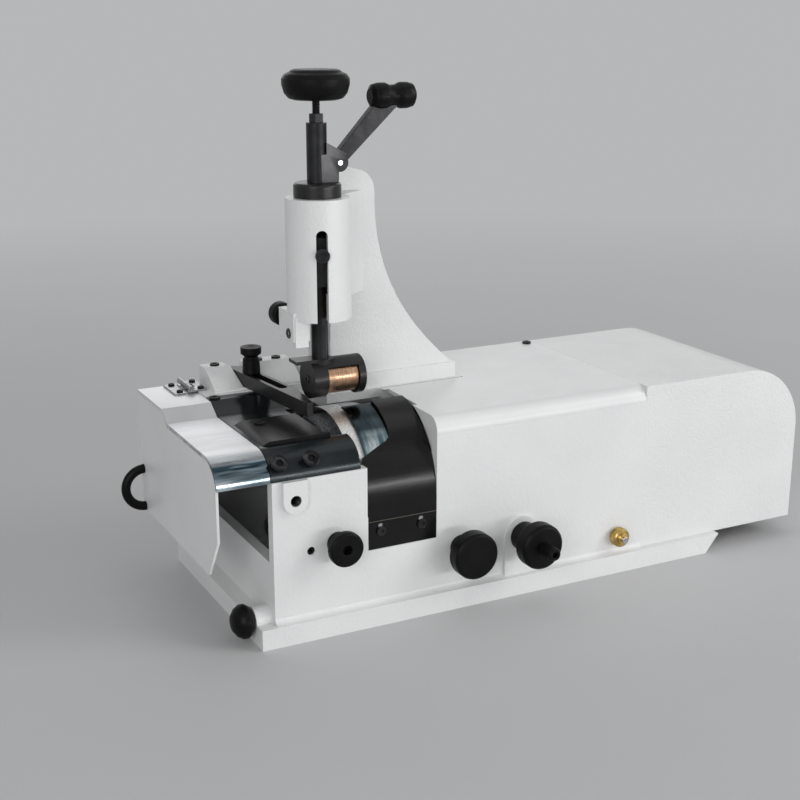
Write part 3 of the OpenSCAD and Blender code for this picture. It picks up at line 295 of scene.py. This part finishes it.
def polished_sheet():
    """Bright sheet with a bloom on the flat, and blue-black and pale streaks of painted reflection where it
    rolls down at the front.
    """
    s = Shader("polished_sheet", (0.66, 0.7, 0.73), 0.12, 1.0)
    bloom = s.noise(22, 5, 0.6)
    flat = s.ramp(bloom, (0.28, (0.74, 0.755, 0.765)), (0.5, (0.8, 0.81, 0.815)), (0.75, (0.85, 0.855, 0.86)))
    # Painted reflection on the rolled front: dark blue-black and near-white streaks
    reflection_streak = s.noise(85, 3, 0.6, (0.12, 1, 1))
    painted_reflection_roll = s.ramp(reflection_streak, (0.4, (0.03, 0.05, 0.065)), (0.5, (0.3, 0.38, 0.43)), (0.58, (0.8, 0.83, 0.85)))
    down = s.span(s.position("Z"), 0.1365, 0.131)
    s.colour(s.mix(down, flat, painted_reflection_roll))
    bright = s.ramp(s.noise(60, 5, 0.65, (0.4, 1, 1)), (0.3, 0.06), (0.7, 0.2))
    s.gloss(s.mix(down, s.ramp(bloom, (0.3, 0.42), (0.7, 0.56)), bright))
    s.bumps((s.noise(30, 2, 0.5), 0.18, 0.002), (s.noise(1400, 2, 0.5, (0.05, 1, 1)), 0.05, 0.0001))
    return s.mat


def knife_steel():
    """Bell steel, ground bright and speckled along the first centimetre from the edge."""
    s = Shader("knife_steel", (0.5, 0.5, 0.5), 0.3, 1.0)
    place = s.span(s.position("X"), -0.113, -0.094)
    rings = s.noise(1400, 3, 0.6, (1, 0.02, 0.02))
    body = s.ramp(rings, (0.3, (0.3, 0.31, 0.32)), (0.7, (0.46, 0.47, 0.48)))
    colour, _ = s.cells(900)
    rim = s.ramp(colour, (0.2, (0.62, 0.62, 0.61)), (0.8, (0.82, 0.82, 0.8)))
    s.colour(s.mix(s.ramp(place, (0.74, 0.0), (0.8, 1.0)), rim, body))
    s.gloss(s.ramp(place, (0.72, 0.42), (0.82, 0.24)))
    s.bumps((rings, 0.12, 0.0001), (s.noise(1500, 3), 0.1, 0.0001))
    return s.mat


def warm_metal(name, low, high, stretch):
    s = Shader(name, high, 0.3, 1.0)
    lines = s.noise(1000, 3, 0.6, stretch)
    tarnish = s.noise(160, 5, 0.65)
    clean, stained = s.ramp(lines, (0.3, low), (0.7, high)), tuple(c * 0.45 for c in low)
    s.colour(s.mix(s.ramp(tarnish, (0.42, 0.0), (0.7, 0.8)), clean, stained))
    s.gloss(s.ramp(tarnish, (0.3, 0.22), (0.7, 0.45)))
    s.bumps((lines, 0.12, 0.0001))
    return s.mat


def abrasive(name, low, high, scale):
    s = Shader(name, high, 0.85)
    colour, distance = s.cells(scale)
    grit = s.ramp(colour, (0.1, low), (0.55, high), (0.95, tuple(min(1.0, c * 2.1) for c in high)))
    s.colour(s.mix(s.ramp(s.noise(50, 4), (0.35, 0.0), (0.75, 0.5)), grit, tuple(c * 0.6 for c in low)))
    s.bumps((distance, 0.6, 0.0005), (s.noise(scale * 1.7, 3), 0.3, 0.0003))
    return s.mat


def rubber():
    s = Shader("rubber", (0.018, 0.018, 0.018), 0.7)
    s.colour(s.ramp(s.noise(300, 4), (0.3, 0.011), (0.75, 0.032)))
    s.bumps((s.noise(1200, 3), 0.3, 0.0002))
    return s.mat


CAST = white_paint("white_cast", 420, 0.4, 0.22)
SHEET = white_paint("white_sheet", 700, 0.2, 0.1)
GRAINY = white_paint("white_grainy", 520, 0.62, 0.4)
GLOSS = black_gloss()
SATIN = black_satin()
PLATE = black_plate()
GUARD = guard_black()
MOULDED = black_moulded()
OXIDE = black_oxide()
SCREW = black_screw()
STEEL = ground_steel("ground_steel", (1, 0.04, 1))
HINGE = ground_steel("hinge_steel", (0.04, 1, 1), 0.34)
TURNED = ground_steel("turned_steel", (1, 0.02, 0.02), 0.52)
CHROME = polished_sheet()
BLUED = blued_sheet()
KNIFE = knife_steel()
BRASS = warm_metal("brass", (0.5, 0.34, 0.1), (0.78, 0.56, 0.22), (0.05, 1, 0.05))
BRONZE = warm_metal("bronze", (0.4, 0.23, 0.14), (0.66, 0.42, 0.28), (1, 0.03, 0.03))
ROLL = abrasive("feed_stone", (0.045, 0.047, 0.05), (0.11, 0.113, 0.12), 1100)
WHEEL = abrasive("grind_stone", (0.2, 0.16, 0.15), (0.42, 0.36, 0.34), 1000)
RUBBER = rubber()

FINISH = {
    CAST: "base_flange front_wall body_frame presser_arm rear_deck",
    SHEET: "side_wall main_cover",
    GRAINY: "rear_cover",
    GLOSS: "table_plate",
    PLATE: "throat_plate",
    SATIN: "edge_guide foot_holder column_cap",
    GUARD: "knife_guard",
    MOULDED: "bow_handle regulator_knob lever_grip clamp_knob guide_thumb_screw feed_lift_knob"
    " knife_advance_knob stone_feed_knob chute_knob",
    SCREW: "table_screws hinge_screws_moving cover_screws arm_bolts stone_lock_screw",
    OXIDE: "guard_screws lever_bracket lock_nut regulator_screw lift_lever presser_bar guide_screw"
    " roller_axle knife_pulley feed_gear_case feed_pulley",
    STEEL: "lever_pin nut_stud",
    HINGE: "hinge_leaf_fixed hinge_pin hinge_leaf_moving",
    TURNED: "knife_shaft knife_quill knife_bearings feed_shaft stone_sleeve stone_spindle presser_spring",
    CHROME: "side_sheet",
    BLUED: "chip_deflector",
    KNIFE: "bell_knife",
    BRASS: "brass_nut bar_bush",
    BRONZE: "presser_roller",
    ROLL: "feed_roll",
    WHEEL: "grindstone",
    RUBBER: "stone_belt",
}
for mat, names in FINISH.items():
    for name in names.split():
        nodes[name].data.materials.clear()
        nodes[name].data.materials.append(mat)


# Edges: solids keep their meshes, and modifiers round the corners and smooth the curves
def weld_group():
    """Drops stored normals and joins the vertices that lie on one another."""
    g = bpy.data.node_groups.new("weld", "GeometryNodeTree")
    g.interface.new_socket("Geometry", in_out="INPUT", socket_type="NodeSocketGeometry")
    g.interface.new_socket("Geometry", in_out="OUTPUT", socket_type="NodeSocketGeometry")
    start, end = g.nodes.new("NodeGroupInput"), g.nodes.new("NodeGroupOutput")
    drop = g.nodes.new("GeometryNodeRemoveAttribute")
    drop.inputs["Name"].default_value = "custom_normal"
    join = g.nodes.new("GeometryNodeMergeByDistance")
    join.inputs["Distance"].default_value = 2e-6
    g.links.new(start.outputs[0], drop.inputs[0])
    g.links.new(drop.outputs[0], join.inputs["Geometry"])
    g.links.new(join.outputs[0], end.inputs[0])
    return g


def smooth_group(limit):
    """Smooth faces, with edges sharper than the limit kept sharp."""
    g = bpy.data.node_groups.new("smooth_by_angle", "GeometryNodeTree")
    g.interface.new_socket("Geometry", in_out="INPUT", socket_type="NodeSocketGeometry")
    g.interface.new_socket("Geometry", in_out="OUTPUT", socket_type="NodeSocketGeometry")
    start, end = g.nodes.new("NodeGroupInput"), g.nodes.new("NodeGroupOutput")
    faces, sharp = g.nodes.new("GeometryNodeSetShadeSmooth"), g.nodes.new("GeometryNodeSetShadeSmooth")
    faces.domain, sharp.domain = "FACE", "EDGE"
    angle, below = g.nodes.new("GeometryNodeInputMeshEdgeAngle"), g.nodes.new("FunctionNodeCompare")
    below.data_type, below.operation = "FLOAT", "LESS_EQUAL"
    below.inputs[1].default_value = math.radians(limit)
    g.links.new(angle.outputs["Unsigned Angle"], below.inputs[0])
    g.links.new(start.outputs[0], faces.inputs["Geometry"])
    g.links.new(faces.outputs[0], sharp.inputs["Geometry"])
    g.links.new(below.outputs[0], sharp.inputs["Shade Smooth"])
    g.links.new(sharp.outputs[0], end.inputs[0])
    return g


WELD = weld_group()
SMOOTH = smooth_group(32)
EDGE_ANGLE = math.radians(34)


def round_edges(obj, width, segments=2):
    m = obj.modifiers.new("weld", "NODES")
    m.node_group = WELD
    m = obj.modifiers.new("flats", "DECIMATE")
    m.decimate_type = "DISSOLVE"
    m.angle_limit = math.radians(0.4)
    if width:
        m = obj.modifiers.new("edges", "BEVEL")
        m.limit_method = "ANGLE"
        m.angle_limit = EDGE_ANGLE
        m.width = width * MM
        m.segments = segments
        m.use_clamp_overlap = True
    m = obj.modifiers.new("smooth", "NODES")
    m.node_group = SMOOTH
    m = obj.modifiers.new("normals", "WEIGHTED_NORMAL")
    m.keep_sharp = True


EDGE_WIDTH = {
    "base_flange": 1.0, "front_wall": 0.8, "body_frame": 0.6, "presser_arm": 1.2, "rear_deck": 0.8,
    "main_cover": 1.0, "rear_cover": 1.2, "side_wall": 0.3, "side_sheet": 0.3,
    "table_plate": 0.3, "throat_plate": 0.3, "knife_guard": 0.3, "edge_guide": 0.6,
    "foot_holder": 0.6, "column_cap": 0.6, "lever_bracket": 0.6, "lift_lever": 0.7, "regulator_knob": 0.8,
    "lever_grip": 0.6, "feed_lift_knob": 0.6, "knife_advance_knob": 0.6, "stone_feed_knob": 0.6,
    "bell_knife": 0.0, "presser_spring": 0.0, "stone_belt": 0.0, "chip_deflector": 0.1,
}
SMALL_EDGE = 0.25
for name, obj in nodes.items():
    round_edges(obj, EDGE_WIDTH.get(name, SMALL_EDGE))


# Pieces of the scene's own
def new_piece(name, verts, faces, mat, body, smooth=True):
    mesh = bpy.data.meshes.new(name)
    mesh.from_pydata([tuple(v) for v in verts], [], faces)
    bm = bmesh.new()
    bm.from_mesh(mesh)
    bmesh.ops.recalc_face_normals(bm, faces=bm.faces)
    bm.to_mesh(mesh)
    bm.free()
    mesh.materials.append(mat)
    obj = bpy.data.objects.new(name, mesh)
    scene.collection.objects.link(obj)
    if smooth:
        m = obj.modifiers.new("smooth", "NODES")
        m.node_group = SMOOTH
    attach(obj, body)
    return obj


def tube_faces(rings, around, closed=False):
    """Quads between rings of vertices; the ends are capped unless the rings close on themselves."""
    faces = []
    last = rings if closed else rings - 1
    for i in range(last):
        a, b = i * around, ((i + 1) % rings) * around
        faces += [(a + j, a + (j + 1) % around, b + (j + 1) % around, b + j) for j in range(around)]
    if not closed:
        faces += [tuple(range(around))[::-1], tuple((rings - 1) * around + j for j in range(around))]
    return faces


def presser_spring():
    """Round wire with closed end coils, in the space of the CAD spring."""
    centre = at(75, 66, 0)
    coil_r, wire_r, turns, low, high = 9.5 * MM, 1.0 * MM, 8, 245.1 * MM, 284.9 * MM
    steps, around, flat = 40, 12, 0.9
    rings = turns * steps + 1
    verts = []
    for i in range(rings):
        turn = i / steps
        rise = min(max((turn - flat) / (turns - 2 * flat), 0), 1)
        lead = 2.2 * wire_r
        z = low + min(turn, flat) / flat * lead + (high - low - 2 * lead) * rise
        z += max(turn - turns + flat, 0) / flat * lead
        a = 2 * math.pi * turn
        out = Vector((math.cos(a), math.sin(a), 0))
        mid = Vector((centre.x, centre.y, z)) + out * coil_r
        for j in range(around):
            b = 2 * math.pi * j / around
            verts.append(mid + out * wire_r * math.cos(b) + Vector((0, 0, wire_r * math.sin(b))))
    obj = new_piece("wire_spring", verts, tube_faces(rings, around), TURNED, "frame")
    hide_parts("presser_spring")
    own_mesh(obj)


def stone_belt():
    """Round-edged belt on the two drums, in the space of the CAD belt."""
    knife, stone = at(0, 66, 89), at(0, 114.083, 40.917)
    x = at(333, 0, 0).x
    big, small, thick, half = 14.3 * MM, 10.3 * MM, 5 * MM, 2.5 * MM
    span = Vector((0, stone.y - knife.y, stone.z - knife.z))
    line = math.atan2(span.z, span.y)
    lean = math.acos((big - small) / span.length)
    path = []
    steps = 40
    on_knife = (knife, big, line + lean, 2 * (math.pi - lean))
    on_stone = (stone, small, line - lean, 2 * lean)
    for centre, r, start, sweep in (on_knife, on_stone):
        for i in range(steps + 1):
            a = start + sweep * i / steps
            path.append((centre, r, Vector((0, math.cos(a), math.sin(a)))))
    profile = [(-half, 0.4), (-half, 0.85), (-half * 0.85, 1.0), (half * 0.85, 1.0),
               (half, 0.85), (half, 0.4), (half * 0.7, 0.0), (-half * 0.7, 0.0)]
    verts = []
    for centre, r, out in path:
        for dx, h in profile:
            verts.append(Vector((x + dx, centre.y, centre.z)) + out * (r + h * thick))
    obj = new_piece("drive_belt", verts, tube_faces(len(path), len(profile), True), RUBBER, "frame")
    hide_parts("stone_belt")


def knurled_nut():
    """Thumb nut with a straight knurl round its band."""
    centre = at(295, 5.6, 29)
    teeth, per = 40, 6
    around = teeth * per
    bore = 2.55
    groove = 0.55
    # Radius, depth and whether the knurl cuts there
    rows = [(bore, 0.0, 0), (5.6, 0.0, 0), (6.1, 0.25, 0), (7.0, 1.2, 0), (7.4, 1.6, 1), (7.4, 6.8, 1),
            (7.0, 7.3, 0), (6.1, 8.3, 0), (4.6, 8.4, 0), (4.4, 8.6, 0), (4.4, 9.7, 0), (4.1, 10.0, 0),
            (bore, 10.0, 0)]
    verts = []
    for r, d, cut in rows:
        for j in range(around):
            a = 2 * math.pi * j / around
            wave = abs((j % per) / per - 0.5) * 2
            rr = r - cut * groove * wave
            verts.append(centre + Vector((rr * math.cos(a), -d, rr * math.sin(a))) * MM)
    obj = new_piece("knurled_nut", verts, tube_faces(len(rows), around, True), BRASS, "nut")
    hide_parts("brass_nut")


def threaded_stem():
    """Regulator screw with its thread where it shows, and the plate that presses the spring."""
    centre = at(75, 66, 0)
    stem, root, pitch = 2.75, 2.35, 1.0
    low, high = 352.2, 360.8
    around, step = 40, 0.2
    # Radius, height and whether the thread cuts there
    rows = [(0.01, 286.0, 0), (13.2, 286.0, 0), (13.5, 286.3, 0), (13.5, 289.3, 0), (13.2, 289.6, 0),
            (stem, 289.6, 0), (stem, low, 0)]
    count = int((high - low) / step)
    rows += [(stem, low + (high - low) * i / count, 1) for i in range(1, count)]
    rows += [(stem, high, 0), (stem, 365.0, 0), (0.01, 365.0, 0)]
    verts = []
    for r, z, cut in rows:
        for j in range(around):
            a = 2 * math.pi * j / around
            phase = (z / pitch - j / around) % 1.0
            wave = 1 - abs(2 * phase - 1)
            rr = r - cut * (stem - root) * wave
            verts.append(centre + Vector((rr * math.cos(a), rr * math.sin(a), z)) * MM)
    obj = new_piece("threaded_stem", verts, tube_faces(len(rows), around), OXIDE, "regulator")
    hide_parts("regulator_screw")


def lug_screw():
    """Socket set screw in the left face of the column's lug."""
    centre = at(51.8, 66.6, 202.4)
    around, sixth = 48, math.pi / 3
    socket_r, socket_deep = 1.75, 1.0
    # Radius and depth; the last ring is the socket's mouth
    rows = [(3.6, 0.8), (3.6, -0.5), (3.3, -0.8), (1.9, -0.8)]
    verts = []
    for r, d in rows:
        for j in range(around):
            a = 2 * math.pi * j / around
            rr = r
            if (r, d) == rows[-1]:
                rr = socket_r * math.cos(sixth / 2) / math.cos((a % sixth) - sixth / 2)
            verts.append(centre + Vector((d, rr * math.cos(a), rr * math.sin(a))) * MM)
    for j in range(around):
        v = verts[(len(rows) - 1) * around + j].copy()
        v.x += socket_deep * MM
        verts.append(v)
    obj = new_piece("lug_screw", verts, tube_faces(len(rows) + 1, around), OXIDE, "frame")


def turned_along_y(name, centre, rows, mat):
    """Closed form turned about Y from (radius, depth) rows, in millimetres."""
    around = 48
    verts = []
    for r, d in rows:
        for j in range(around):
            a = 2 * math.pi * j / around
            verts.append(centre + Vector((r * math.cos(a), d, r * math.sin(a))) * MM)
    obj = new_piece(name, verts, tube_faces(len(rows), around), mat, "frame")


def front_holes():
    """Thread in the hole of the raised pad, and the plug in the small hole below it."""
    crest, root, pitch, deep = 3.15, 3.5, 0.7, 9.4
    turns = int(deep / pitch)
    thread = [(crest if i % 2 else root, deep * i / (2 * turns)) for i in range(2 * turns + 1)]
    sleeve = [(0.01, 10.2), (3.92, 10.2), (3.92, 0.0)]
    turned_along_y("pad_thread", at(28, 3.4, 103), sleeve + thread + [(0.01, deep)], OXIDE)
    plug = [(0.01, 6.0), (2.92, 6.0), (2.92, 0.4), (2.6, 0.0), (1.5, 0.0), (1.4, 2.0), (0.01, 2.0)]
    turned_along_y("sight_plug", at(39.6, 6.9, 64), plug, SCREW)


presser_spring()
stone_belt()
knurled_nut()
threaded_stem()
lug_screw()
front_holes()


# Floor, light and backdrop
def floor():
    """Pale paper under the part, faded out before it ends so that the backdrop has no edge."""
    mesh = bpy.data.meshes.new("floor")
    far = 3.0
    mesh.from_pydata([(-far, -far, 0), (far, -far, 0), (far, far, 0), (-far, far, 0)], [], [(0, 1, 2, 3)])
    s = Shader("floor_paper", (0.56, 0.56, 0.565), 0.8)
    s.colour(s.ramp(s.noise(3, 3), (0.3, (0.55, 0.55, 0.555)), (0.7, (0.57, 0.57, 0.575))))
    s.bumps((s.noise(800, 2), 0.05, 0.0002))
    away = s.tree.nodes.new("ShaderNodeVectorMath")
    away.operation = "LENGTH"
    s.link(s.coords, away.inputs[0])
    s.link(s.ramp(s.span(away.outputs["Value"], 0.5, 1.9), (0.0, 1.0), (1.0, 0.0)), s.bsdf.inputs["Alpha"])
    mesh.materials.append(s.mat)
    obj = bpy.data.objects.new("floor", mesh)
    scene.collection.objects.link(obj)


def lamp(name, place, target, size, power):
    light = bpy.data.lights.new(name, "AREA")
    light.shape = "RECTANGLE"
    light.size, light.size_y = size
    light.energy = power
    obj = bpy.data.objects.new(name, light)
    obj.location = place
    obj.rotation_euler = (Vector(target) - Vector(place)).to_track_quat("-Z", "Y").to_euler()
    obj.visible_camera = False
    scene.collection.objects.link(obj)


floor()
MIDDLE = (0.0, 0.0, 0.12)
lamp("key", (1.9, -1.3, 1.3), MIDDLE, (1.2, 1.2), 21)
lamp("fill", (-1.5, -1.6, 0.9), MIDDLE, (1.2, 1.2), 17)
lamp("strip", (0.95, -1.9, 0.2), MIDDLE, (1.6, 0.2), 11)
lamp("top", (0.1, 0.1, 2.1), MIDDLE, (1.8, 1.8), 5)
lamp("back", (0.9, 2.2, 1.1), MIDDLE, (2.6, 0.9), 8)
world = bpy.data.worlds.new("studio")
world.use_nodes = True
tree = world.node_tree
lit, seen = tree.nodes["Background"], tree.nodes.new("ShaderNodeBackground")
lit.inputs["Color"].default_value = (0.62, 0.63, 0.64, 1)
lit.inputs["Strength"].default_value = 0.45
seen.inputs["Color"].default_value = (0.47, 0.475, 0.48, 1)
rays, either = tree.nodes.new("ShaderNodeLightPath"), tree.nodes.new("ShaderNodeMixShader")
direct, clear = tree.nodes.new("ShaderNodeMath"), tree.nodes.new("ShaderNodeMath")
direct.operation = clear.operation = "MAXIMUM"
tree.links.new(rays.outputs["Is Camera Ray"], direct.inputs[0])
tree.links.new(rays.outputs["Is Glossy Ray"], direct.inputs[1])
tree.links.new(direct.outputs[0], clear.inputs[0])
tree.links.new(rays.outputs["Is Transmission Ray"], clear.inputs[1])
tree.links.new(clear.outputs[0], either.inputs["Fac"])
tree.links.new(lit.outputs[0], either.inputs[1])
tree.links.new(seen.outputs[0], either.inputs[2])
tree.links.new(either.outputs[0], tree.nodes["World Output"].inputs["Surface"])
scene.world = world
